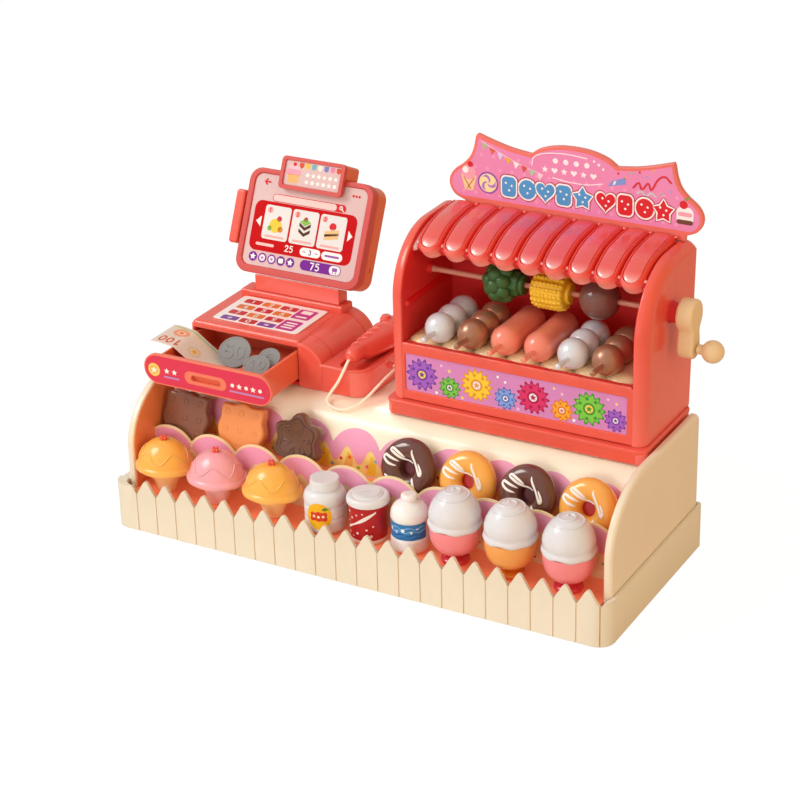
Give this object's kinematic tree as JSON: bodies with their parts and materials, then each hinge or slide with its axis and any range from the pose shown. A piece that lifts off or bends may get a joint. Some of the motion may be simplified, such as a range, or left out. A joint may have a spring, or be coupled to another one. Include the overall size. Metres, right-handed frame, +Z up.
{
  "type": "toy grocery store",
  "caption": "Toy grocery store: picket-fronted display base with play food, a till with sliding drawer and corded handset, and a grill kiosk whose crank turns a spit.",
  "frame": {"origin": "point on the base's flat underside, below the middle of the display", "axes": "+X along the picket fence from the till end to the crank end, +Y from the fence to the back, +Z up"},
  "size_m": [0.4293, 0.2038, 0.29],
  "materials": {
    "cream": "satin moulded plastic",
    "salmon": "satin moulded plastic",
    "pink_card": "printed film on a plastic panel",
    "orange": "glossy moulded plastic",
    "pink": "glossy moulded plastic",
    "white": "glossy moulded plastic",
    "red": "glossy moulded plastic",
    "brown": "glossy moulded plastic",
    "coral": "glossy moulded plastic",
    "pale_coral": "glossy moulded plastic",
    "crimson": "printed film on a plastic panel",
    "paper": "printed play money sheet",
    "grey": "satin moulded plastic",
    "tan": "glossy moulded plastic",
    "green": "satin moulded plastic",
    "yellow": "satin moulded plastic"
  },
  "bodies": {
    "base": {"base_fence": "cream", "base_plate": "cream", "base_shell": "cream", "display_tray": "salmon", "scallop_card": "pink_card", "ice_cream_1": "orange", "ice_cream_2": "pink", "ice_cream_3": "orange", "yogurt_bottle": "white", "drink_cup": "red", "water_bottle": "white", "sundae_1": "pink", "sundae_2": "orange", "sundae_3": "pink", "cookie_1": "brown", "cookie_2": "orange", "cookie_3": "brown", "donut_1": "brown", "donut_2": "orange", "donut_3": "brown", "donut_4": "orange", "till_housing": "coral", "till_bottom": "coral", "keypad_plate": "white", "monitor_neck": "pale_coral", "monitor_bezel": "coral", "monitor_back": "pale_coral", "screen_plate": "white", "header_box": "coral", "card_reader": "coral", "handset_cord": "cream", "kiosk_base": "coral", "kiosk_shell": "coral", "front_print": "pink_card", "awning": "coral", "sign_board": "pink_card", "grill_tray": "cream", "skewer_1": "white", "skewer_2": "tan", "skewer_3": "pink", "skewer_4": "pink", "skewer_5": "white", "skewer_6": "tan", "bearing_left": "coral", "bearing_right": "coral"},
    "drawer": {"drawer_tray": "pale_coral", "drawer_front": "crimson", "banknote": "paper", "coin_large": "grey", "coin_medium": "grey", "coin_small": "grey"},
    "spit": {"spit_shaft": "tan", "broccoli": "green", "corn_cob": "yellow", "meatball": "tan", "crank_arm": "cream"},
    "knob": {"crank_knob": "cream"},
    "handset": {"handset": "coral"}
  },
  "joints": [
    {"name": "drawer_slide", "type": "slide", "parent": "base", "child": "drawer", "axis": [0, -1, 0], "range_m": [-0.0476, 0.01], "deforming": ["banknote"]},
    {"name": "crank_spin", "type": "hinge", "parent": "base", "child": "spit", "pos_m": [0.2, 0.0435, 0.196], "axis": [1, 0, 0], "continuous": true},
    {"name": "knob_spin", "type": "hinge", "parent": "spit", "child": "knob", "pos_m": [0.2173, 0.0435, 0.172], "axis": [1, 0, 0], "continuous": true},
    {"name": "handset_lift", "type": "slide", "parent": "base", "child": "handset", "axis": [0, 0, 1], "range_m": [0, 0.03], "deforming": ["handset_cord"]}
  ]
}
